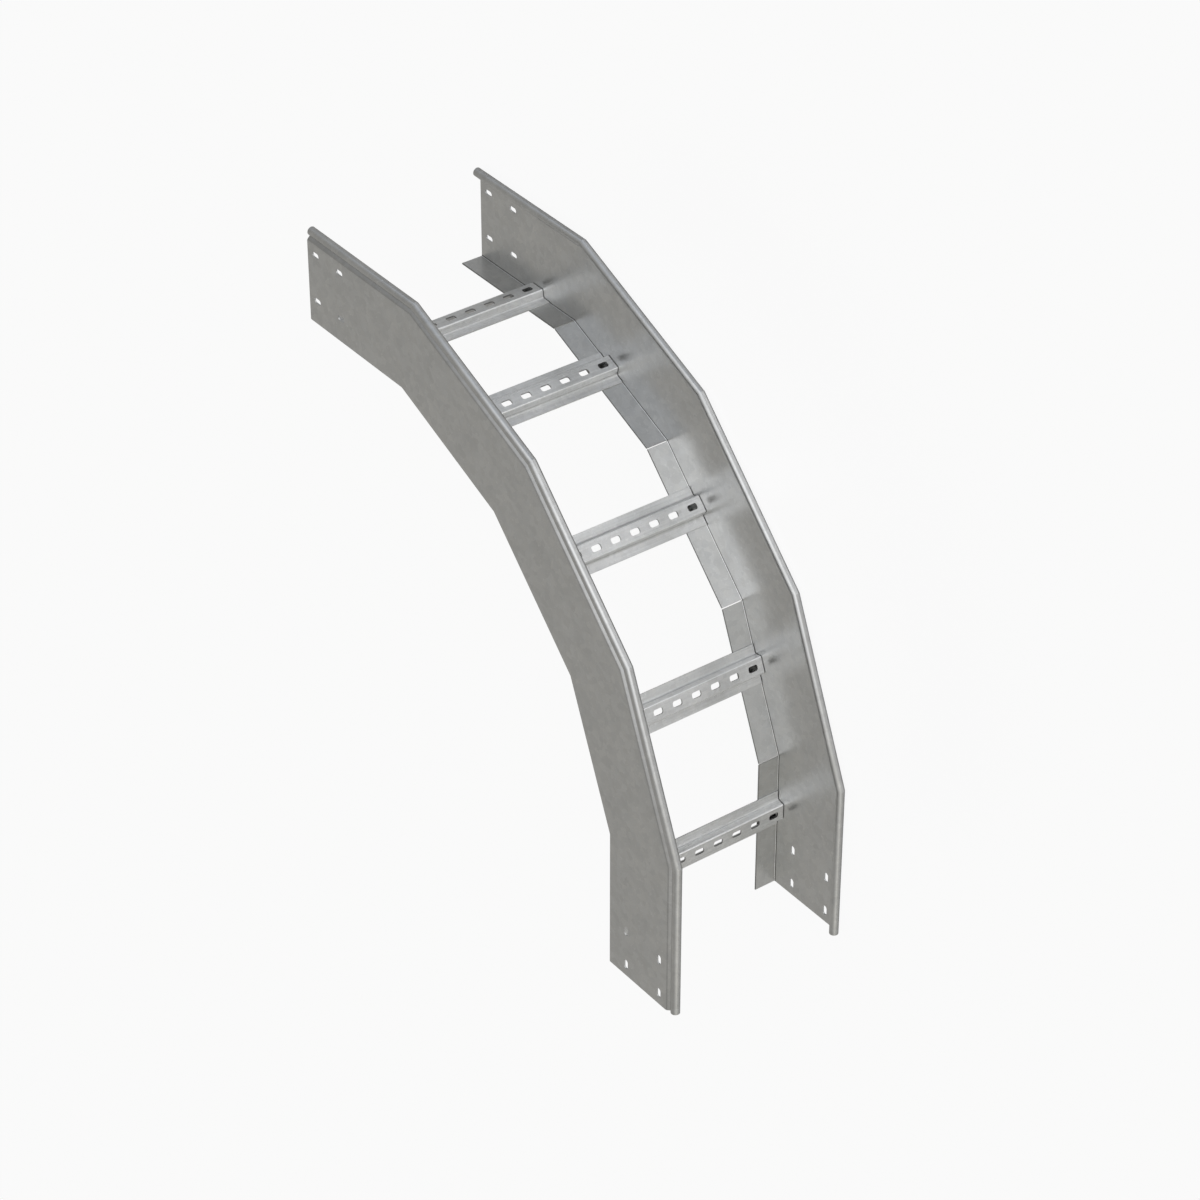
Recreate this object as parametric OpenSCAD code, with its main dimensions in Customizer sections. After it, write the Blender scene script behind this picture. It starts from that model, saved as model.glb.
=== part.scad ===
// Vertical outside bend of a galvanised steel cable ladder, turning 90 degrees in five straight runs.
// Two side rails, each one formed sheet with an inward flange and a rolled bead along its outer edge,
// carry five slotted hat-section rungs on their flanges.
// The bend lies on its side: the right rail's web is flat on the floor, and the left rail is on top.

/* [Bend] */
// Width over the two side rails
ladder_w = 200; // [150:5:600]
// Angle turned at each of the four corners
corner_angle = 22.5; // [15:0.5:22.5]
// Length of the first and the last run, along the flange
leg_l = 151.5; // [130:0.5:400]
// Length of the second and the fourth run, along the flange
side_run_l = 156.5; // [130:0.5:400]
// Length of the middle run, along the flange
middle_run_l = 164; // [130:0.5:400]

/* [Side rails] */
// Thickness of the rail sheet
sheet_t = 1.5; // [1:0.1:2]
// Height of a rail, from the flange's outer face to the top of the bead
rail_h = 100; // [85:1:160]
// Width of the inward flange
flange_w = 25; // [18:0.5:45]
// Inside radius of the fold between web and flange
fold_r = 0.5; // [0.3:0.1:2]
// Diameter of the rolled bead
bead_d = 9; // [8:0.1:14]
// Distance from the web's outer face in to the bead
bead_inset = 0.75; // [0:0.05:1.5]
// Width of the slit across the flange at each corner
slit_w = 1.2; // [0.5:0.1:3]

/* [End slots] */
// Length of an end slot, along the rail
end_slot_l = 10.5; // [7:0.5:16]
// Width of an end slot
end_slot_w = 5.5; // [4.5:0.1:7]
// Distance from the rail's end to the middle of its first slots
end_slot_first = 13.25; // [9:0.25:20]
// Spacing of the end slots along the rail
end_slot_step = 40; // [20:1:50]
// Height of the first row of end slots above the flange's outer face
end_slot_rise = 26.75; // [15:0.25:30]
// Spacing of the two rows of end slots
end_row_step = 50; // [20:1:50]

/* [Rungs] */
// Thickness of the rung sheet
rung_t = 1.5; // [1:0.1:2]
// Width of a rung over its two feet
rung_w = 39; // [32:0.5:60]
// Width of a rung's hat where it meets the feet
hat_w = 20; // [18:0.5:26]
// Width of a rung's crown
crown_w = 17; // [14:0.5:18]
// Height of a rung
rung_h = 10; // [6:0.5:25]
// Clearance between a rung's end and the rail's fold
rung_clear = 0.1; // [0.1:0.1:2]
// Distance from the first corner back to the middle of the first rung
first_rung_back = 59; // [40:0.5:80]
// Distance from the first corner on to the middle of the second rung
second_rung_ahead = 62.25; // [40:0.25:90]
// Distance from the second corner on to the middle of the third rung
third_rung_ahead = 67.25; // [40:0.25:90]
// Distance from the third corner on to the middle of the fourth rung
fourth_rung_ahead = 62.75; // [40:0.25:90]
// Distance from the fourth corner on to the middle of the fifth rung
fifth_rung_ahead = 60.5; // [40:0.25:90]

/* [Rung slots] */
// Length of a rung slot, along the rung
rung_slot_l = 10.5; // [7:0.5:14]
// Width of a rung slot
rung_slot_w = 6; // [4.5:0.1:9]
// Radius of a rung slot's corners
rung_slot_r = 2; // [0.5:0.1:2.2]
// Distance from a rung's right end to the middle of its first slot
rung_slot_first = 11.5; // [8:0.5:30]
// Spacing of the slots along a rung
rung_slot_step = 22.2; // [16:0.1:50]

/* [Hidden] */
$fn = 64;

// Cutters run past the faces that they open by this much
overcut = 1;

// The bend's course along the flange's outer face: runs, corners and headings
run_l = [leg_l, side_run_l, middle_run_l, side_run_l, leg_l];
runs = len(run_l);
function heading(i) = -i * corner_angle;
function corner(i) = i == 0 ? [0, 0] : corner(i - 1) + run_l[i - 1] * [cos(heading(i - 1)), sin(heading(i - 1))];

// The middle of the bend's outline is put over the origin
half_angle = corner_angle / 2;
function rim(i) = corner(i + 1) + rail_h * [-sin(heading(i)), cos(heading(i))];
reach_x = max([for (i = [0 : runs - 1]) max(corner(i + 1)[0], rim(i)[0])]);
reach_y = min([for (i = [0 : runs - 1]) min(corner(i + 1)[1], rim(i)[1])]);
middle = [reach_x / 2, (rail_h + reach_y) / 2];

// Rolled edge: the web leans in at 45 degrees, and the bead's tail lies on it and meets the bead at a tangent
bead_r = bead_d / 2;
bead_at = [rail_h - bead_r, bead_inset + bead_r];
neck_t = 2 * sheet_t;
shoulder_h = bead_at[0] - bead_at[1] - sqrt(2) * (bead_r - neck_t);
tail_h = shoulder_h + sheet_t - sqrt(2) * neck_t;
notch_angle = 225 - asin((bead_r - neck_t) / bead_r);
crest_angle = 360;
tail_angle = crest_angle + 135;

// Flat strips up to the bead's crest and on to its tail, around its hollow and around the fold
rise_steps = 13;
tail_steps = 11;
bore_steps = 16;
fold_steps = 2;

// Fold between web and flange
fold_out_r = fold_r + sheet_t;

// Rungs stand between the folds, on the flanges' inner faces
rung_at = [leg_l - first_rung_back, second_rung_ahead, third_rung_ahead, fourth_rung_ahead, fifth_rung_ahead];
rung_end = fold_out_r + rung_clear;
rung_l = ladder_w - 2 * rung_end;
rung_slots = 1 + floor((rung_l - 2 * rung_slot_first) / rung_slot_step);
wall_lean = atan((hat_w - crown_w) / 2 / (rung_h - rung_t));
wall_across = rung_t / cos(wall_lean);
mouth_half = hat_w / 2 - wall_across + rung_t * tan(wall_lean);
roof_half = hat_w / 2 - wall_across - (rung_h - 2 * rung_t) * tan(wall_lean);

// Puts its children on run i, with X along the run and Y to the outside of the bend
module on_run(i) {
    translate([corner(i)[0] - middle[0], corner(i)[1] - middle[1], 0])
        rotate([0, 0, heading(i)])
            children();
}

// Points on an arc about a centre, from one angle to another
function arc(at, r, from, to, steps) =
    [for (k = [0 : steps]) at + r * [cos(from + (to - from) * k / steps), sin(from + (to - from) * k / steps)]];

// Rail outline: each point is a height above the flange's outer face and a distance in from the web's outer face
function rail_outline() = concat(
    arc([fold_out_r, fold_out_r], fold_out_r, 180, 270, fold_steps),
    [[shoulder_h, 0]],
    arc(bead_at, bead_r, notch_angle, crest_angle, rise_steps),
    arc(bead_at, bead_r, crest_angle + (tail_angle - crest_angle) / tail_steps, tail_angle, tail_steps - 1),
    [[tail_h, sheet_t]],
    arc([fold_out_r, fold_out_r], fold_r, 270, 180, fold_steps),
    [[sheet_t, flange_w], [0, flange_w]]
);

// Outline of the hollow inside the bead
function bore_outline() = arc(bead_at, bead_r - sheet_t, 0, 360 - 360 / bore_steps, bore_steps - 1);

// The way that the section's height points at corner i: it is stretched there to fill the mitre
function mitre(i) =
    i == 0 ? [0, 1]
    : i == runs ? [-sin(heading(runs - 1)), cos(heading(runs - 1))]
    : [-sin(heading(i - 0.5)), cos(heading(i - 0.5))] / cos(half_angle);

// A ring of the sweep is a place and the way of its height; rings past the ends lie d further out
function ring(i) = [corner(i) - middle, mitre(i)];
function ring_before(d) = [corner(0) - middle - [d, 0], mitre(0)];
function ring_after(d) =
    [corner(runs) - middle + d * [cos(heading(runs - 1)), sin(heading(runs - 1))], mitre(runs)];

// Sweeps an outline along the bend, mitred at the corners and running on past both ends by d
module sweep(outline, d = 0) {
    along = [for (i = [0 : runs]) ring(i)];
    rings = d > 0 ? concat([ring_before(d)], along, [ring_after(d)]) : along;
    n = len(outline);
    last = len(rings) - 1;
    points = [
        for (r = rings, p = outline)
            [r[0][0] + p[0] * r[1][0], r[0][1] + p[0] * r[1][1], p[1]]
    ];
    sides = [
        for (i = [0 : last - 1], k = [0 : n - 1])
            [i * n + k, (i + 1) * n + k, (i + 1) * n + (k + 1) % n, i * n + (k + 1) % n]
    ];
    ends = [[for (k = [0 : n - 1]) k], [for (k = [n - 1 : -1 : 0]) last * n + k]];
    polyhedron(points, concat(sides, ends));
}

// Cut across the flange at a corner, from the fold out through its free edge
module corner_slit(i) {
    translate([corner(i)[0] - middle[0], corner(i)[1] - middle[1], fold_out_r])
        rotate([0, 0, heading(i) + half_angle])
            translate([-slit_w / 2, -overcut, 0])
                cube([slit_w, fold_out_r + overcut, flange_w]);
}

// Round-ended slot through the web, long way along the run
module end_slot() {
    depth = sheet_t + 2 * overcut;
    straight = end_slot_l - end_slot_w;
    translate([0, 0, -overcut]) {
        translate([-straight / 2, -end_slot_w / 2, 0])
            cube([straight, end_slot_w, depth]);
        for (side = [-1, 1])
            translate([side * straight / 2, 0, 0])
                cylinder(h = depth, d = end_slot_w);
    }
}

// Four slots at the free end of a run, for the coupling plate
module end_slots(i) {
    for (step = [0, 1], row = [0, 1]) {
        from_end = end_slot_first + step * end_slot_step;
        on_run(i)
            translate([i == 0 ? from_end : run_l[i] - from_end, end_slot_rise + row * end_row_step, 0])
                end_slot();
    }
}

// Side rail with its web on the floor and its flange and bead turned up
module side_rail() {
    difference() {
        sweep(rail_outline());
        sweep(bore_outline(), overcut);
        for (i = [1 : runs - 1])
            corner_slit(i);
        end_slots(0);
        end_slots(runs - 1);
    }
}

// Right side rail, on the floor
module side_rail_right() {
    color([0.60, 0.60, 0.58])
        side_rail();
}

// Left side rail, its mirror image on top
module side_rail_left() {
    color([0.56, 0.56, 0.54])
        translate([0, 0, ladder_w])
            mirror([0, 0, 1])
                side_rail();
}

// Rung section: X is along the run, Y the height above the rails' flanges
module rung_section() {
    polygon([
        [-rung_w / 2, 0],
        [-rung_w / 2, rung_t],
        [-hat_w / 2, rung_t],
        [-crown_w / 2, rung_h],
        [crown_w / 2, rung_h],
        [hat_w / 2, rung_t],
        [rung_w / 2, rung_t],
        [rung_w / 2, 0],
        [mouth_half, 0],
        [roof_half, rung_h - rung_t],
        [-roof_half, rung_h - rung_t],
        [-mouth_half, 0]
    ]);
}

// Rounded slot through the crown, long way along the rung
module rung_slot() {
    depth = rung_t + 2 * overcut;
    half_w = rung_slot_w / 2 - rung_slot_r;
    half_l = rung_slot_l / 2 - rung_slot_r;
    translate([0, rung_h - rung_t - overcut, 0]) {
        translate([-rung_slot_w / 2, 0, -half_l])
            cube([rung_slot_w, depth, 2 * half_l]);
        translate([-half_w, 0, -rung_slot_l / 2])
            cube([2 * half_w, depth, rung_slot_l]);
        for (u = [-half_w, half_w], z = [-half_l, half_l])
            translate([u, 0, z])
                rotate([-90, 0, 0])
                    cylinder(h = depth, r = rung_slot_r);
    }
}

// Rung on run i, its feet on both flanges
module rung(i) {
    color([0.68, 0.69, 0.69])
        on_run(i)
            translate([rung_at[i], sheet_t, rung_end])
                difference() {
                    linear_extrude(rung_l)
                        rung_section();
                    for (k = [0 : rung_slots - 1])
                        translate([0, 0, rung_slot_first + k * rung_slot_step])
                            rung_slot();
                }
}

side_rail_right();
side_rail_left();
rung(0);  // rung_1
rung(1);  // rung_2
rung(2);  // rung_3
rung(3);  // rung_4
rung(4);  // rung_5
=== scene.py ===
from math import asin, cos, pi, radians, sin, sqrt, tan

import bpy
from mathutils import Matrix, Vector


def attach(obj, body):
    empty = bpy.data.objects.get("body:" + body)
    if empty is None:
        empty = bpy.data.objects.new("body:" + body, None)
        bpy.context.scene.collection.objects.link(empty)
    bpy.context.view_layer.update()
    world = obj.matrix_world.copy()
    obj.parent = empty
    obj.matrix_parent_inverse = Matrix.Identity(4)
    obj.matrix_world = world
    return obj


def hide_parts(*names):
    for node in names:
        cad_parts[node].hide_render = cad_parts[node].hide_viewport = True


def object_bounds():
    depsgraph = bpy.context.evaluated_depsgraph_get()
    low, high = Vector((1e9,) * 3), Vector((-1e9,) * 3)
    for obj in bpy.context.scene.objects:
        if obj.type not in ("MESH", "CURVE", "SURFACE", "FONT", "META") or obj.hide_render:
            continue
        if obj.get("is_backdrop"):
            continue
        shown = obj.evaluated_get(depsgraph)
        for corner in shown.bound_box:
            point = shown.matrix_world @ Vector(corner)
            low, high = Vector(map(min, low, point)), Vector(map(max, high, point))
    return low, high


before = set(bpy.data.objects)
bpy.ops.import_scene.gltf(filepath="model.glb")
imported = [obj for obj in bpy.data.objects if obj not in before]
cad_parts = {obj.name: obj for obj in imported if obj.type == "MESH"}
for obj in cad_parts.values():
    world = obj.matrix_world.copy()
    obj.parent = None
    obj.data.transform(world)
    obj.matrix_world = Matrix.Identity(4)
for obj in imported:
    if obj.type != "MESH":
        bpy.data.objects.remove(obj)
cad_low, cad_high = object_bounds()


# Side rails: each is one galvanised steel sheet. Its flat web is cut to the bend's outline, its flange is
# folded inwards along the inner edge and slit at the four corners, and its outer edge is rolled to a bead.
# Eight slots in each web take the bolts of the coupling plates.
sheet = 0.0015
rail_high = 0.100
flange_wide = 0.025
fold_inside = 0.0008
fold_outside = fold_inside + sheet
crease_wide = 0.0006
crease_rise = 0.000045
edge_round = 0.0003
bead_across = 0.009
bead_inset = 0.00075
shoulder_bend = 0.004
slit_wide = 0.0012
slit_start = 0.0020
overcut = 0.001
corner_angle = radians(22.5)
run_lengths = (0.1515, 0.1565, 0.164, 0.1565, 0.1515)
ladder_wide = cad_high.z - cad_low.z


def run_axes(run):
    """The ways along a run and out of the bend from it."""
    turned = -run * corner_angle
    return Vector((cos(turned), sin(turned), 0)), Vector((-sin(turned), cos(turned), 0))


drop = sum(length * sin(run * corner_angle) for run, length in enumerate(run_lengths))
corners = [Vector((cad_low.x, cad_low.y + drop, 0))]
for run, length in enumerate(run_lengths):
    corners.append(corners[-1] + length * run_axes(run)[0])


def on_run(run, along, high):
    """A point on a run, by its way along it and its height above the flange's outer face."""
    forward, outward = run_axes(run)
    return corners[run] + along * forward + high * outward


def arc(middle, radius, start, end, steps):
    """Points on an arc, with its angles in degrees."""
    turns = [radians(start + (end - start) * k / steps) for k in range(steps + 1)]
    return [(middle[0] + radius * cos(t), middle[1] + radius * sin(t)) for t in turns]


def outline_curve(name, points, closed=True, bends=None):
    """A curve through points, to follow or to sweep, with the radius of the bend at each point."""
    curve = bpy.data.curves.new(name, "CURVE")
    curve.dimensions = "3D"
    line = curve.splines.new("POLY")
    line.points.add(len(points) - 1)
    for place, point, bend in zip(line.points, points, bends or [1.0] * len(points)):
        place.co = (*point, 0, 1) if len(point) == 2 else (*point, 1)
        place.radius = bend
    line.use_cyclic_u = closed
    made = bpy.data.objects.new(name, curve)
    bpy.context.scene.collection.objects.link(made)
    return made


# Rail section: each point is a height above the flange's outer face and a depth in from the web's outer
# face. The web leans in at 45 degrees below the bead, and the bead's tail lies on it.
bead_r = bead_across / 2
bead_middle = (rail_high - bead_r, bead_inset + bead_r)
neck = 2 * sheet
shoulder_high = bead_middle[0] - bead_middle[1] - sqrt(2) * (bead_r - neck)
shoulder_middle = (shoulder_high - shoulder_bend * tan(pi / 8), shoulder_bend)
tail_high = shoulder_high + sheet - sqrt(2) * neck
notch = 225 - asin((bead_r - neck) / bead_r) * 180 / pi
rail_outline = [
    *arc((fold_outside, fold_outside), fold_outside, 180, 270, steps=8),
    *arc(shoulder_middle, shoulder_bend, 270, 315, steps=9),
    *arc(bead_middle, bead_r, notch, 360, steps=31)[:-1],
    *arc(bead_middle, bead_r, 360, 495, steps=27),
    (tail_high, sheet),
    (fold_outside + crease_wide, sheet),
    (fold_outside, sheet + crease_rise),
    *arc((fold_outside, fold_outside), fold_inside, 240, 180, steps=4),
    *arc((sheet - edge_round, flange_wide - edge_round), edge_round, 0, 90, steps=5),
    *arc((edge_round, flange_wide - edge_round), edge_round, 90, 180, steps=5),
]
hollow_outline = arc(bead_middle, bead_r - sheet, 0, 352.5, steps=47)
rail_section = outline_curve("rail_section", [(-high, -deep) for high, deep in rail_outline])
bead_hollow = outline_curve("bead_hollow", [(-high, -deep) for high, deep in hollow_outline])
rail_path = outline_curve("rail_path", corners, closed=False)

# Slots for the coupling bolts: a rectangle of four at each end of the rail
end_slot_long = 0.0105
end_slot_wide = 0.0055
end_slot_first = 0.01325
end_slot_step = 0.040
end_slot_rise = 0.02675
end_row_step = 0.050
last_run = len(run_lengths) - 1
slot_points = []
slot_turns = []
for step in (0, 1):
    for row in (0, 1):
        from_end = end_slot_first + step * end_slot_step
        high = end_slot_rise + row * end_row_step
        slot_points.append(on_run(0, from_end, high))
        slot_turns.append(0.0)
        slot_points.append(on_run(last_run, run_lengths[last_run] - from_end, high))
        slot_turns.append(-last_run * corner_angle)
slot_places = bpy.data.meshes.new("slot_places")
slot_places.from_pydata(slot_points, [], [])
slot_places.attributes.new("turn", "FLOAT", "POINT").data.foreach_set("value", slot_turns)
slot_marks = bpy.data.objects.new("slot_marks", slot_places)
bpy.context.scene.collection.objects.link(slot_marks)


def add(tree, kind, inputs=None, **settings):
    """Adds a node to a tree, with its settings, and its inputs as values or as other nodes' outputs."""
    made = tree.nodes.new(kind)
    for name, value in settings.items():
        setattr(made, name, value)
    for name, value in (inputs or {}).items():
        if isinstance(value, bpy.types.NodeSocket):
            tree.links.new(value, made.inputs[name])
        else:
            made.inputs[name].default_value = value
    return made


def worked(tree, operation, *values):
    """The result of a sum in a tree, on values or on other nodes' outputs."""
    return add(tree, "ShaderNodeMath", dict(enumerate(values)), operation=operation).outputs[0]


def scaled(tree, vector, share):
    """A vector or colour in a tree, times a share."""
    return add(tree, "ShaderNodeVectorMath", {0: vector, "Scale": share}, operation="SCALE").outputs[0]


def axes_of(tree, kind):
    """The parts along X, Y and Z of the position or the normal in a tree."""
    return add(tree, "ShaderNodeSeparateXYZ", {0: add(tree, kind).outputs[0]}).outputs


def marked(tree, shape, name, value, domain="POINT"):
    """A shape in a tree that keeps a value under a name."""
    return add(tree, "GeometryNodeStoreNamedAttribute", {"Geometry": shape, "Name": name, "Value": value},
               domain=domain).outputs[0]


def recalled(tree, name):
    """The value that a shape in a tree keeps under a name."""
    return add(tree, "GeometryNodeInputNamedAttribute", {"Name": name}).outputs["Attribute"]


def shape_tree(name, sizes):
    """An empty tree of geometry nodes with named inputs, and what it is given and gives."""
    tree = bpy.data.node_groups.new(name, "GeometryNodeTree")
    tree.interface.new_socket("Geometry", in_out="INPUT", socket_type="NodeSocketGeometry")
    for label, kind in sizes.items():
        tree.interface.new_socket(label, in_out="INPUT", socket_type="NodeSocket" + kind)
    tree.interface.new_socket("Geometry", in_out="OUTPUT", socket_type="NodeSocketGeometry")
    return tree, tree.nodes.new("NodeGroupInput").outputs, tree.nodes.new("NodeGroupOutput").inputs


def path_ends(tree, first, last):
    """The end points of a path in a tree, so many at its first end and at its last."""
    ends = add(tree, "GeometryNodeCurveEndpointSelection", {"Start Size": first, "End Size": last})
    return ends.outputs[0]


def swept(tree, path, section, ends, corner_stretch):
    """A section swept along a path: its height is stretched at the mitres, and its depth is kept."""
    outline = add(tree, "GeometryNodeObjectInfo", {"Object": section}).outputs["Geometry"]
    place = axes_of(tree, "GeometryNodeInputPosition")
    outline = marked(tree, outline, "depth", worked(tree, "MULTIPLY", place["Y"], -1.0))
    outline = marked(tree, outline, "height", worked(tree, "MULTIPLY", place["X"], -1.0))
    stretch = add(tree, "GeometryNodeSwitch", {"Switch": ends, "False": corner_stretch, "True": 1.0},
                  input_type="FLOAT")
    tube = add(tree, "GeometryNodeCurveToMesh", {"Curve": path, "Profile Curve": outline,
                                                 "Scale": stretch.outputs[0], "Fill Caps": True})
    spot = axes_of(tree, "GeometryNodeInputPosition")
    level = add(tree, "ShaderNodeCombineXYZ", {
        "X": spot["X"], "Y": spot["Y"], "Z": recalled(tree, "depth")})
    return add(tree, "GeometryNodeSetPosition", {"Geometry": tube.outputs[0],
                                                 "Position": level.outputs[0]}).outputs[0]


def slot_punch(tree, length, width, corner, corner_steps, depth):
    """A rounded slot's punch: it stands on the XY plane, with its length along X."""
    weld_gap = 1e-5
    outline = add(tree, "GeometryNodeCurvePrimitiveQuadrilateral", {"Width": length, "Height": width})
    rounded = add(tree, "GeometryNodeFilletCurve", {
        "Curve": outline.outputs[0], "Count": corner_steps, "Radius": corner,
        "Limit Radius": True}, mode="POLY")
    stroke = add(tree, "GeometryNodeCurvePrimitiveLine", {
        "Start": scaled(tree, (0, 0, -1), depth), "End": scaled(tree, (0, 0, 1), depth)})
    punch = add(tree, "GeometryNodeCurveToMesh", {
        "Curve": stroke.outputs[0], "Profile Curve": rounded.outputs[0], "Fill Caps": True})
    return add(tree, "GeometryNodeMergeByDistance", {"Geometry": punch.outputs[0],
                                                     "Distance": weld_gap}).outputs[0]


def cut_out(tree, body, cutters):
    """A body with shapes cut out of it."""
    whole = add(tree, "GeometryNodeRealizeInstances", {"Geometry": cutters})
    return add(tree, "GeometryNodeMeshBoolean", {"Mesh 1": body, "Mesh 2": whole.outputs[0]},
               operation="DIFFERENCE", solver="EXACT").outputs[0]


def painted(tree, shape, material, result):
    """Ends a tree with its shape made real and its material on it."""
    whole = add(tree, "GeometryNodeRealizeInstances", {"Geometry": shape})
    skin = add(tree, "GeometryNodeSetMaterial", {"Geometry": whole.outputs[0], "Material": material})
    tree.links.new(skin.outputs[0], result["Geometry"])


def formed(name, start, tree, sizes):
    """Runs a tree on an object and returns the result as a plain mesh object at the origin."""
    maker = start.modifiers.new(name, "NODES")
    maker.node_group = tree
    for item in tree.interface.items_tree:
        if item.in_out == "INPUT" and item.name in sizes:
            maker[item.identifier] = sizes[item.name]
    start.update_tag()
    depsgraph = bpy.context.evaluated_depsgraph_get()
    mesh = bpy.data.meshes.new_from_object(start.evaluated_get(depsgraph), depsgraph=depsgraph)
    start.modifiers.remove(maker)
    mesh.name = name
    made = bpy.data.objects.new(name, mesh)
    bpy.context.scene.collection.objects.link(made)
    return made


rail_tree, given, result = shape_tree("formed_rail", {
    "Section": "Object", "Hollow": "Object", "Slot places": "Object", "Corner stretch": "Float",
    "Slit size": "Vector", "Slit middle": "Vector", "Slot length": "Float", "Slot width": "Float",
    "Punch depth": "Float", "Overrun": "Float", "Fold depth": "Float", "Fold highlight depth": "Float",
    "Edge depth": "Float", "Shoulder height": "Float", "Bead height": "Float", "Material": "Material"})
both_ends = path_ends(rail_tree, first=1, last=1)
first_end = path_ends(rail_tree, first=1, last=0)
last_end = path_ends(rail_tree, first=0, last=1)
path_way = add(rail_tree, "GeometryNodeInputTangent").outputs[0]
onward = scaled(rail_tree, path_way, given["Overrun"])
backward = scaled(rail_tree, onward, -1.0)
path_back = add(rail_tree, "GeometryNodeSetPosition", {
    "Geometry": given["Geometry"], "Selection": first_end, "Offset": backward})
path_long = add(rail_tree, "GeometryNodeSetPosition", {
    "Geometry": path_back.outputs[0], "Selection": last_end, "Offset": onward})
rail_body = swept(rail_tree, given["Geometry"], given["Section"], both_ends, given["Corner stretch"])
hollow_body = swept(rail_tree, path_long.outputs[0], given["Hollow"], both_ends, given["Corner stretch"])

# A saw stands at each corner of the path, and a punch at each mark. The punch's corners take just under
# half of its width, so that its ends are round.
round_end_share = 0.499
round_end_steps = 8
at_corners = add(rail_tree, "FunctionNodeBooleanMath", {0: both_ends}, operation="NOT")
corner_turned = add(rail_tree, "FunctionNodeAlignRotationToVector", {"Vector": path_way}, axis="X")
slit_block = add(rail_tree, "GeometryNodeMeshCube", {"Size": given["Slit size"]})
slit_saw = add(rail_tree, "GeometryNodeTransform", {
    "Geometry": slit_block.outputs["Mesh"], "Translation": given["Slit middle"]})
slits = add(rail_tree, "GeometryNodeInstanceOnPoints", {
    "Points": given["Geometry"], "Selection": at_corners.outputs[0], "Instance": slit_saw.outputs[0],
    "Rotation": corner_turned.outputs[0]})
round_end = worked(rail_tree, "MULTIPLY", given["Slot width"], round_end_share)
end_punch = slot_punch(rail_tree, given["Slot length"], given["Slot width"], round_end, round_end_steps,
                       given["Punch depth"])
slot_turned = add(rail_tree, "FunctionNodeAxisAngleToRotation", {
    "Axis": (0, 0, 1), "Angle": recalled(rail_tree, "turn")})
marks = add(rail_tree, "GeometryNodeObjectInfo", {"Object": given["Slot places"]})
slots = add(rail_tree, "GeometryNodeInstanceOnPoints", {
    "Points": marks.outputs["Geometry"], "Instance": end_punch, "Rotation": slot_turned.outputs[0]})
cutters = rail_tree.nodes.new("GeometryNodeJoinGeometry")
for cutter in (hollow_body, slits.outputs[0], slots.outputs[0]):
    rail_tree.links.new(cutter, cutters.inputs[0])

# How much the zinc's colour is darkened: 0 as rolled, 1 on a dull cut edge, above 0 for painted shade and
# below 0 for a painted highlight. The fold's crease gets painted shade with a painted highlight beside it,
# and the shoulder and the bead get a little painted shade.
crease_painted_shade = 1.2
crease_depth = sheet + fold_inside / 8
crease_reach = 0.00011
# Painted highlight: a bright line on the fold, beside the crease's painted shade
fold_painted_highlight = -1.0
fold_highlight_depth = sheet + 0.75 * fold_inside
fold_highlight_reach = 0.00012
lean_middle = 0.5
lean_reach = 0.498
# Painted shade on the shoulder where it leans outward
shoulder_painted_shade = 0.38
shoulder_shade_high = shoulder_high + 0.0015
shoulder_reach = 0.0019
outward_lean = -0.5
# A little painted shade on the bead
bead_painted_shade = 0.12
bead_shade_high = rail_high - bead_across + 0.0004
face_deep = axes_of(rail_tree, "GeometryNodeInputPosition")["Z"]
face_lean = axes_of(rail_tree, "GeometryNodeInputNormal")["Z"]
face_high = recalled(rail_tree, "height")
leaning = worked(rail_tree, "COMPARE", face_lean, lean_middle, lean_reach)
in_crease = worked(rail_tree, "COMPARE", face_deep, given["Fold depth"], crease_reach)
in_fold_highlight = worked(rail_tree, "COMPARE", face_deep, given["Fold highlight depth"], fold_highlight_reach)
at_shoulder = worked(rail_tree, "COMPARE", face_high, given["Shoulder height"], shoulder_reach)
turned_out = worked(rail_tree, "LESS_THAN", face_lean, outward_lean)
on_bead = worked(rail_tree, "GREATER_THAN", face_high, given["Bead height"])
rail_edge_and_light_marks = worked(rail_tree, "GREATER_THAN", face_deep, given["Edge depth"])
# The crease's painted shade, the fold's painted highlight and the shoulder's and bead's painted shade are
# added to the cut edge's mark
for faces, share in ((worked(rail_tree, "MULTIPLY", in_crease, leaning), crease_painted_shade),
                     (worked(rail_tree, "MULTIPLY", in_fold_highlight, leaning), fold_painted_highlight),
                     (worked(rail_tree, "MULTIPLY", at_shoulder, turned_out), shoulder_painted_shade),
                     (on_bead, bead_painted_shade)):
    rail_edge_and_light_marks = worked(rail_tree, "MULTIPLY_ADD", faces, share, rail_edge_and_light_marks)
rail_body = marked(rail_tree, rail_body, "dull", rail_edge_and_light_marks, domain="FACE")
painted(rail_tree, cut_out(rail_tree, rail_body, cutters.outputs[0]), given["Material"], result)


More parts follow.
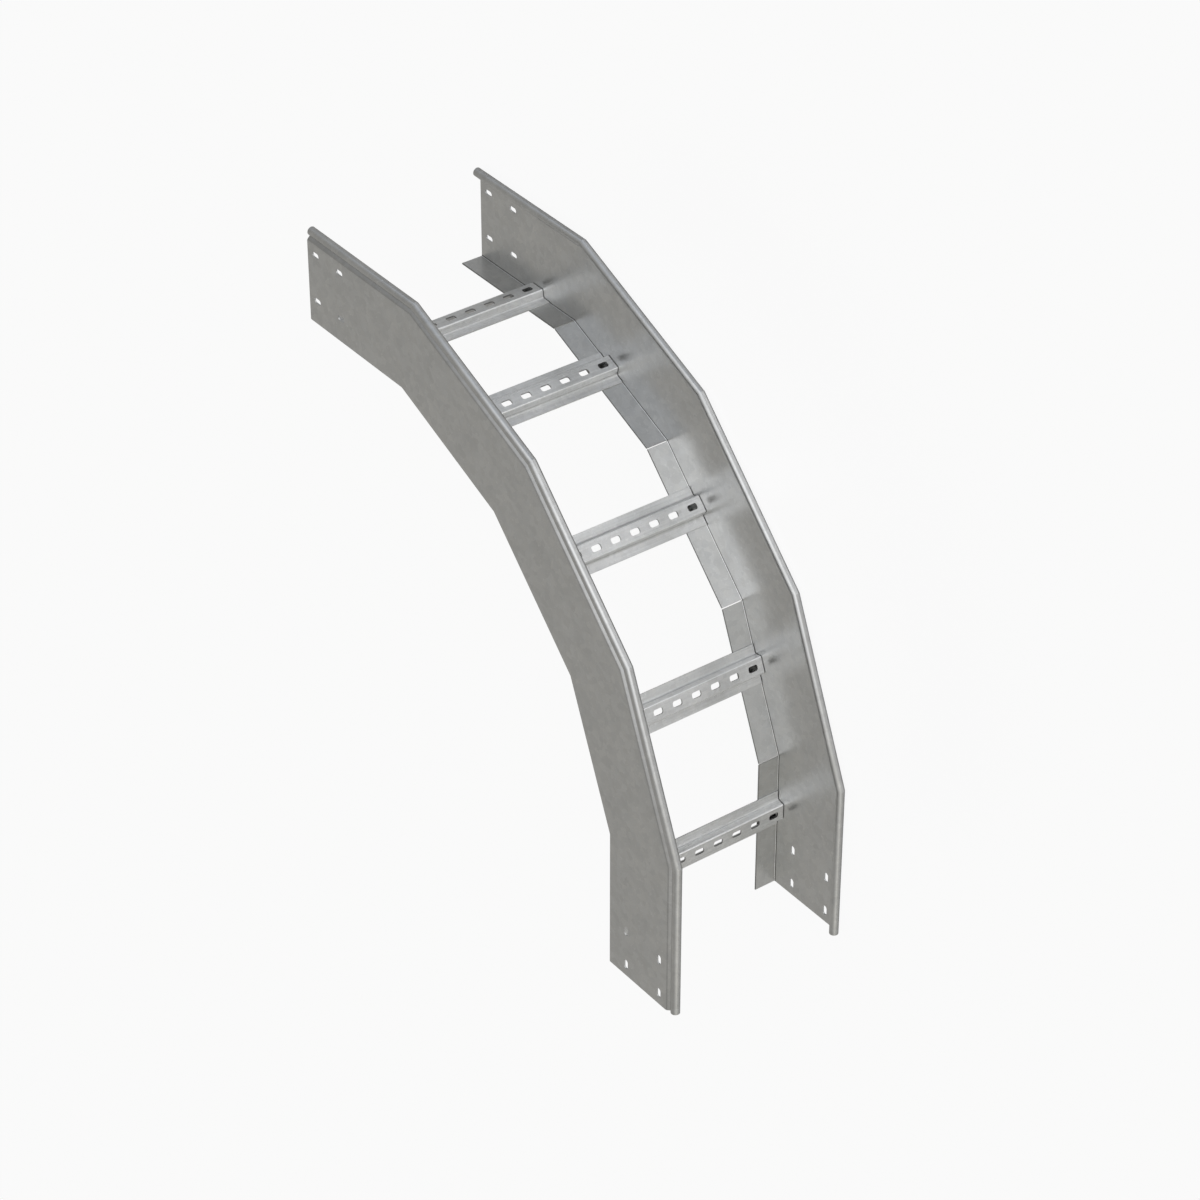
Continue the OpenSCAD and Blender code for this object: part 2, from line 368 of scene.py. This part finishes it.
def zinc_group():
    """A zinc skin: crystals of a few millimetres, clouds, fine grain, pale flecks and rolling streaks."""
    crystal_wander = 0.006
    wander_scale = 160.0
    cloud_scale = 26.0
    grain_scale = 620.0
    fleck_scale = 330.0
    fleck_start = 0.62
    fleck_full = 0.74
    streak_scale = 480.0
    streak_draw = 0.03
    crystal_tone = 0.4
    cloud_tone = 0.6
    crystal_height = 0.5
    group = bpy.data.node_groups.new("zinc_skin", "ShaderNodeTree")
    group.interface.new_socket("Vector", in_out="INPUT", socket_type="NodeSocketVector")
    for label in ("Crystal size", "Crystal", "Cloud", "Grain", "Fleck", "Streak"):
        group.interface.new_socket(label, in_out="INPUT", socket_type="NodeSocketFloat")
    for label in ("Shade", "Tone", "Height"):
        group.interface.new_socket(label, in_out="OUTPUT", socket_type="NodeSocketFloat")
    given = group.nodes.new("NodeGroupInput").outputs
    out = group.nodes.new("NodeGroupOutput").inputs

    def noise(vector, scale, detail, roughness=0.5):
        """Soft noise, with so many patches to the metre."""
        return add(group, "ShaderNodeTexNoise", {"Vector": vector, "Scale": scale, "Detail": detail,
                                                 "Roughness": roughness}).outputs

    def varied(shade, mask, strength):
        """A shade that a mask makes paler and darker around its middle."""
        return worked(group, "MULTIPLY_ADD", worked(group, "SUBTRACT", mask, 0.5), strength, shade)

    bent = noise(given["Vector"], wander_scale, detail=2.0)["Color"]
    shift = add(group, "ShaderNodeVectorMath", {0: bent, 1: (0.5, 0.5, 0.5)}, operation="SUBTRACT")
    wander = add(group, "ShaderNodeVectorMath", {
        0: shift.outputs[0], 1: (crystal_wander,) * 3, 2: given["Vector"]}, operation="MULTIPLY_ADD")
    density = worked(group, "DIVIDE", 1.0, given["Crystal size"])
    crystals = add(group, "ShaderNodeTexVoronoi", {"Vector": wander.outputs[0], "Scale": density})
    facet = add(group, "ShaderNodeSeparateColor", {0: crystals.outputs["Color"]}).outputs
    clouds = noise(given["Vector"], cloud_scale, detail=6.0, roughness=0.62)["Fac"]
    grains = noise(given["Vector"], grain_scale, detail=3.0, roughness=0.6)["Fac"]
    specks = noise(given["Vector"], fleck_scale, detail=2.0)["Fac"]
    fleck = add(group, "ShaderNodeMapRange", {
        "Value": specks, "From Min": fleck_start, "From Max": fleck_full})
    drawn = add(group, "ShaderNodeVectorMath", {0: given["Vector"], 1: (1.0, 1.0, streak_draw)},
                operation="MULTIPLY")
    streaks = noise(drawn.outputs[0], streak_scale, detail=2.0)["Fac"]
    shade = varied(1.0, facet["Red"], given["Crystal"])
    shade = varied(shade, streaks, given["Streak"])
    shade = varied(shade, clouds, given["Cloud"])
    shade = varied(shade, grains, given["Grain"])
    shade = worked(group, "MULTIPLY_ADD", fleck.outputs["Result"], given["Fleck"], shade)
    tone = worked(group, "MULTIPLY", clouds, cloud_tone)
    tone = worked(group, "MULTIPLY_ADD", facet["Green"], crystal_tone, tone)
    height = worked(group, "MULTIPLY_ADD", facet["Blue"], crystal_height, grains)
    group.links.new(shade, out["Shade"])
    group.links.new(tone, out["Tone"])
    group.links.new(height, out["Height"])
    return group


zinc_skin = zinc_group()


def galvanised(name, cool, warm, crystal_size, roughness, bump, bare, streak):
    """A galvanised sheet's material, from its two greys, its crystals and its share of bare zinc."""
    mark_darkening = 0.6
    roughness_play = 0.01
    relief_deep = 0.0002
    made = bpy.data.materials.new(name)
    made.use_nodes = True
    tree = made.node_tree
    tree.nodes.clear()
    where = add(tree, "ShaderNodeTexCoord").outputs["Object"]
    skin = add(tree, "ShaderNodeGroup", {
        "Vector": where, "Crystal size": crystal_size, "Crystal": 0.10, "Cloud": 0.20, "Grain": 0.12,
        "Fleck": 0.12, "Streak": streak}, node_tree=zinc_skin).outputs
    tint = add(tree, "ShaderNodeMix", {"Factor": skin["Tone"], "A": cool, "B": warm}, data_type="RGBA")
    # The mark darkens the colour on dull cut edges and for painted shade, and lightens it for painted
    # highlights
    dull = add(tree, "ShaderNodeAttribute", attribute_name="dull").outputs["Fac"]
    bright = worked(tree, "MULTIPLY_ADD", dull, -mark_darkening, 1.0)
    shaded = scaled(tree, tint.outputs["Result"], worked(tree, "MULTIPLY", skin["Shade"], bright))
    blur = add(tree, "ShaderNodeMapRange", {
        "Value": skin["Tone"], "To Min": roughness - roughness_play, "To Max": roughness + roughness_play})
    relief = add(tree, "ShaderNodeBump", {
        "Strength": bump, "Distance": relief_deep, "Height": skin["Height"]})
    metal = add(tree, "ShaderNodeBsdfPrincipled", {
        "Base Color": shaded, "Metallic": bare, "Roughness": blur.outputs["Result"],
        "Normal": relief.outputs[0]})
    add(tree, "ShaderNodeOutputMaterial", {"Surface": metal.outputs[0]})
    return made


rail_zinc = galvanised("rail_zinc", cool=(0.605, 0.612, 0.615, 1), warm=(0.622, 0.618, 0.603, 1),
                       crystal_size=0.006, roughness=0.30, bump=0.05, bare=1.0, streak=0.0)
rail_sizes = {
    "Section": rail_section, "Hollow": bead_hollow, "Slot places": slot_marks,
    "Corner stretch": 1 / cos(corner_angle / 2),
    "Slit size": (slit_wide, fold_outside + overcut, flange_wide),
    "Slit middle": (0, (fold_outside - overcut) / 2, slit_start + flange_wide / 2),
    "Slot length": end_slot_long, "Slot width": end_slot_wide, "Punch depth": sheet + overcut,
    "Overrun": overcut, "Fold depth": crease_depth, "Fold highlight depth": fold_highlight_depth,
    "Edge depth": flange_wide - edge_round, "Shoulder height": shoulder_shade_high,
    "Bead height": bead_shade_high, "Material": rail_zinc}


def finished(piece, node):
    """Smooths a piece's rounds, keeps its folds crisp, and puts it in place of its solid."""
    crisp_angle = radians(20)
    flat_weight = 100
    piece.data.shade_smooth()
    piece.data.set_sharp_from_angle(angle=crisp_angle)
    level = piece.modifiers.new("level_faces", "WEIGHTED_NORMAL")
    level.weight = flat_weight
    level.keep_sharp = True
    depsgraph = bpy.context.evaluated_depsgraph_get()
    smooth = bpy.data.meshes.new_from_object(piece.evaluated_get(depsgraph), depsgraph=depsgraph)
    piece.modifiers.remove(level)
    piece.data = smooth
    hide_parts(node)
    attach(piece, "root")


right_rail = formed("rail_right", rail_path, rail_tree, rail_sizes)
left_rail = formed("rail_left", rail_path, rail_tree, rail_sizes)
left_rail.data.transform(Matrix.Translation((0, 0, ladder_wide)) @ Matrix.Diagonal((1, 1, -1, 1)))
left_rail.data.flip_normals()
finished(right_rail, "side_rail_right")
finished(left_rail, "side_rail_left")


# Rungs: five lengths of galvanised hat section, bent from steel strip, stand with their feet on the rails'
# flanges. A row of slots is punched through each crown for the cable ties.
rung_sheet = 0.0015
rung_wide = 0.039
hat_wide = 0.020
crown_wide = 0.017
rung_high = 0.010
rung_clear = 0.0006
rung_bend = 0.0015
inner_bend = 0.0005
foot_bend = 0.0025
bend_steps = 5
rung_slot_long = 0.0105
rung_slot_wide = 0.006
rung_slot_corner = 0.002
rung_corner_steps = 6
rung_slot_first = 0.0115
rung_slot_step = 0.0222
rung_slots = 8
first_rung_back = 0.059
rung_places = (run_lengths[0] - first_rung_back, 0.06225, 0.06725, 0.06275, 0.0605)
rung_end = sheet + rung_clear
rung_long = ladder_wide - 2 * rung_end
crown_level = rung_high - rung_sheet

# Hat section: across the rung from its middle, and up from its feet
wall_run = (hat_wide - crown_wide) / 2 / (rung_high - rung_sheet)
wall_across = rung_sheet * sqrt(1 + wall_run ** 2)
mouth_half = hat_wide / 2 - wall_across + rung_sheet * wall_run
roof_half = hat_wide / 2 - wall_across - (rung_high - 2 * rung_sheet) * wall_run
hat_half = [
    (rung_wide / 2, 0),
    (rung_wide / 2, rung_sheet),
    (hat_wide / 2, rung_sheet),
    (crown_wide / 2, rung_high),
]
hat_under = [(roof_half, crown_level), (mouth_half, 0)]
half_bends = [edge_round, edge_round, foot_bend, rung_bend]
under_bends = [inner_bend, foot_bend + rung_sheet]
hat_outline = [
    *hat_half,
    *[(-across, high) for across, high in hat_half[::-1]],
    *[(-across, high) for across, high in hat_under[::-1]],
    *hat_under,
]
hat_bends = [*half_bends, *half_bends[::-1], *under_bends[::-1], *under_bends]
hat_section = outline_curve("hat_section", hat_outline, bends=hat_bends)

rung_tree, given, result = shape_tree("hat_rung", {
    "Length": "Float", "Slot count": "Int", "First slot": "Vector", "Slot step": "Vector",
    "Slot length": "Float", "Slot width": "Float", "Slot corner": "Float", "Punch depth": "Float",
    "Crown level": "Float", "Material": "Material"})
rung_top = add(rung_tree, "ShaderNodeCombineXYZ", {"Z": given["Length"]})
rung_line = add(rung_tree, "GeometryNodeCurvePrimitiveLine", {"End": rung_top.outputs[0]})
bend_size = add(rung_tree, "GeometryNodeInputRadius").outputs[0]
hat_bent = add(rung_tree, "GeometryNodeFilletCurve", {
    "Curve": given["Geometry"], "Count": bend_steps, "Radius": bend_size}, mode="POLY")
rung_body = add(rung_tree, "GeometryNodeCurveToMesh", {
    "Curve": rung_line.outputs[0], "Profile Curve": hat_bent.outputs[0], "Fill Caps": True})
rung_marks = add(rung_tree, "GeometryNodeMeshLine", {
    "Count": given["Slot count"], "Start Location": given["First slot"], "Offset": given["Slot step"]})
rung_punch = slot_punch(rung_tree, given["Slot length"], given["Slot width"], given["Slot corner"],
                        rung_corner_steps, given["Punch depth"])
lengthwise = add(rung_tree, "FunctionNodeAxesToRotation", {0: (0, 1, 0), 1: (0, 0, 1)},
                 primary_axis="Z", secondary_axis="X")
rung_holes = add(rung_tree, "GeometryNodeInstanceOnPoints", {
    "Points": rung_marks.outputs[0], "Instance": rung_punch, "Rotation": lengthwise.outputs[0]})
rung_cut = cut_out(rung_tree, rung_body.outputs[0], rung_holes.outputs[0])

# How much the zinc's colour is darkened: the slots' cut walls are dull, the undersides get painted shade,
# and the hat's walls and the crown's bends get painted highlights. A face is told by its lean, which is the
# upward part of its normal.
slot_lean = 0.0
slot_lean_reach = 0.02
# Painted highlight on the crown's bends
bend_painted_highlight = -0.6
bend_lean = 0.6
bend_lean_reach = 0.39
# Painted highlight on the hat's walls
wall_painted_highlight = -0.4
wall_lean = 0.174
wall_lean_reach = 0.03
# Painted shade on the hat's undersides
under_painted_shade = 0.3
under_lean = -0.05
rung_level = axes_of(rung_tree, "GeometryNodeInputPosition")["Y"]
rung_lean = axes_of(rung_tree, "GeometryNodeInputNormal")["Y"]
upright = worked(rung_tree, "COMPARE", rung_lean, slot_lean, slot_lean_reach)
bending = worked(rung_tree, "COMPARE", rung_lean, bend_lean, bend_lean_reach)
on_wall = worked(rung_tree, "COMPARE", rung_lean, wall_lean, wall_lean_reach)
below = worked(rung_tree, "LESS_THAN", rung_lean, under_lean)
at_crown = worked(rung_tree, "GREATER_THAN", rung_level, given["Crown level"])
rung_edge_and_light_marks = worked(rung_tree, "MULTIPLY_ADD", bending, bend_painted_highlight, upright)
rung_edge_and_light_marks = worked(rung_tree, "MULTIPLY", rung_edge_and_light_marks, at_crown)
for faces, share in ((on_wall, wall_painted_highlight), (below, under_painted_shade)):
    rung_edge_and_light_marks = worked(rung_tree, "MULTIPLY_ADD", faces, share, rung_edge_and_light_marks)
painted(rung_tree, marked(rung_tree, rung_cut, "dull", rung_edge_and_light_marks, domain="FACE"), given["Material"], result)

# The rungs' greys are made lighter than the rails' as painted light, for the brighter light that the rungs
# catch
rung_zinc = galvanised("rung_zinc", cool=(0.715, 0.723, 0.728, 1), warm=(0.725, 0.721, 0.707, 1),
                       crystal_size=0.0045, roughness=0.37, bump=0.04, bare=0.75, streak=0.35)
rung_sizes = {
    "Length": rung_long, "Slot count": rung_slots,
    "First slot": (0, rung_high - rung_sheet / 2, rung_slot_first), "Slot step": (0, 0, rung_slot_step),
    "Slot length": rung_slot_long, "Slot width": rung_slot_wide, "Slot corner": rung_slot_corner,
    "Punch depth": rung_sheet / 2 + overcut, "Crown level": crown_level, "Material": rung_zinc}
for run, along in enumerate(rung_places):
    rung = formed(f"rung_{run + 1}_hat", hat_section, rung_tree, rung_sizes)
    forward, outward = run_axes(run)
    place = Matrix.Translation(on_run(run, along, sheet) + Vector((0, 0, rung_end)))
    turn = Matrix((forward, outward, Vector((0, 0, 1)))).transposed().to_4x4()
    rung.data.transform(place @ turn)
    finished(rung, f"rung_{run + 1}")

for helper in (rail_section, bead_hollow, rail_path, slot_marks, hat_section):
    bpy.data.objects.remove(helper)


# Floor, surround and lamp: a plain pale floor under the part, a white surround and one soft lamp.
# Metal mirrors only a part of the white that the camera sees, because the room around the part is dim.
floor_half = 3.0
floor_mesh = bpy.data.meshes.new("floor")
floor_mesh.from_pydata([(-floor_half, -floor_half, 0), (floor_half, -floor_half, 0),
                        (floor_half, floor_half, 0), (-floor_half, floor_half, 0)], [], [(0, 1, 2, 3)])
floor = bpy.data.objects.new("floor", floor_mesh)
bpy.context.scene.collection.objects.link(floor)


def white_share(tree, to_camera, in_metal):
    """The share of plain white that the camera sees, straight or through glass, and that metal mirrors."""
    rays = add(tree, "ShaderNodeLightPath").outputs
    straight = worked(tree, "MAXIMUM", rays["Is Camera Ray"], rays["Is Transmission Ray"])
    straight = worked(tree, "MULTIPLY", straight, to_camera)
    return worked(tree, "MULTIPLY_ADD", rays["Is Glossy Ray"], in_metal, straight)


satin_share = 0.65
floor_white = bpy.data.materials.new("floor_white")
floor_white.use_nodes = True
paint = floor_white.node_tree
paint.nodes.clear()
matt = add(paint, "ShaderNodeBsdfDiffuse", {"Color": (0.6, 0.6, 0.6, 1)})
sheen = add(paint, "ShaderNodeBsdfGlossy", {"Color": (0.9, 0.9, 0.9, 1), "Roughness": 0.25})
satin = add(paint, "ShaderNodeMixShader", {0: satin_share, 1: matt.outputs[0], 2: sheen.outputs[0]})
glow = add(paint, "ShaderNodeEmission", {"Color": (1, 1, 1, 1), "Strength": 1.0})
floor_seen = white_share(paint, to_camera=0.93, in_metal=0.05)
floor_mix = add(paint, "ShaderNodeMixShader", {0: floor_seen, 1: satin.outputs[0], 2: glow.outputs[0]})
add(paint, "ShaderNodeOutputMaterial", {"Surface": floor_mix.outputs[0]})
floor_mesh.materials.append(floor_white)
floor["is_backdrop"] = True

lamp = bpy.data.lights.new("key_lamp", "AREA")
lamp.shape = "SQUARE"
lamp.size = 0.50
lamp.energy = 0.3
lamp_place = Vector((0.90, 1.00, 1.50))
lamp_target = Vector((0.05, 0.05, 0.10))
lamp_object = bpy.data.objects.new("key_lamp", lamp)
lamp_object.location = lamp_place
lamp_object.rotation_euler = (lamp_target - lamp_place).to_track_quat("-Z", "Y").to_euler()
bpy.context.scene.collection.objects.link(lamp_object)

world = bpy.data.worlds.new("studio")
bpy.context.scene.world = world
world.use_nodes = True
sky = world.node_tree
sky.nodes.clear()
ray_way = add(sky, "ShaderNodeTexCoord").outputs["Generated"]


def sky_glow(way, narrow, colour):
    """A soft glow of the room around a direction."""
    facing = add(sky, "ShaderNodeVectorMath", {0: ray_way, 1: Vector(way).normalized()},
                 operation="DOT_PRODUCT")
    lobe = worked(sky, "POWER", worked(sky, "MAXIMUM", facing.outputs["Value"], 0.0), narrow)
    return scaled(sky, colour, lobe)


# The dim room, with one glow behind the part, one on the camera's side, one outside the first leg and one
# outside the last leg
room = (0.24, 0.237, 0.222)
glows = (
    sky_glow((-0.6, -0.7, 0.35), narrow=2.0, colour=(0.08, 0.075, 0.068)),
    sky_glow((0.60, 0.56, 0.57), narrow=4.0, colour=(1.42, 1.44, 1.48)),
    sky_glow((-0.2, 0.95, 0.10), narrow=6.0, colour=(0.27, 0.32, 0.41)),
    sky_glow((0.75, -0.45, 0.15), narrow=5.0, colour=(0.56, 0.55, 0.51)),
)
for room_glow in glows:
    room = add(sky, "ShaderNodeVectorMath", {0: room, 1: room_glow}, operation="ADD").outputs[0]
studio = add(sky, "ShaderNodeBackground", {"Color": room, "Strength": 1.0})
white = add(sky, "ShaderNodeBackground", {"Color": (1, 1, 1, 1), "Strength": 1.0})
sky_seen = white_share(sky, to_camera=1.0, in_metal=0.15)
sky_mix = add(sky, "ShaderNodeMixShader", {0: sky_seen, 1: studio.outputs[0], 2: white.outputs[0]})
add(sky, "ShaderNodeOutputWorld", {"Surface": sky_mix.outputs[0]})


# Camera: it looks down on the outside of the bend, with the first leg away to the left and the last leg
# coming down. The image's upward way is the part's Y, so that the part is seen as it is installed.
camera_place = Vector((2.4039, 2.0889, 1.8656))
look = Vector((-0.6544, -0.5772, -0.4884)).normalized()
camera = bpy.data.cameras.new("camera")
camera.lens = 116.14
camera.sensor_width = 36
camera.clip_end = 20
camera_object = bpy.data.objects.new("camera", camera)
image_right = look.cross(Vector((0, 1, 0))).normalized()
image_up = image_right.cross(look)
facing = Matrix((image_right, image_up, -look)).transposed().to_4x4()
camera_object.matrix_world = Matrix.Translation(camera_place) @ facing
bpy.context.scene.collection.objects.link(camera_object)
bpy.context.scene.camera = camera_object
bpy.context.scene.view_settings.view_transform = "Standard"

low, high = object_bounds()
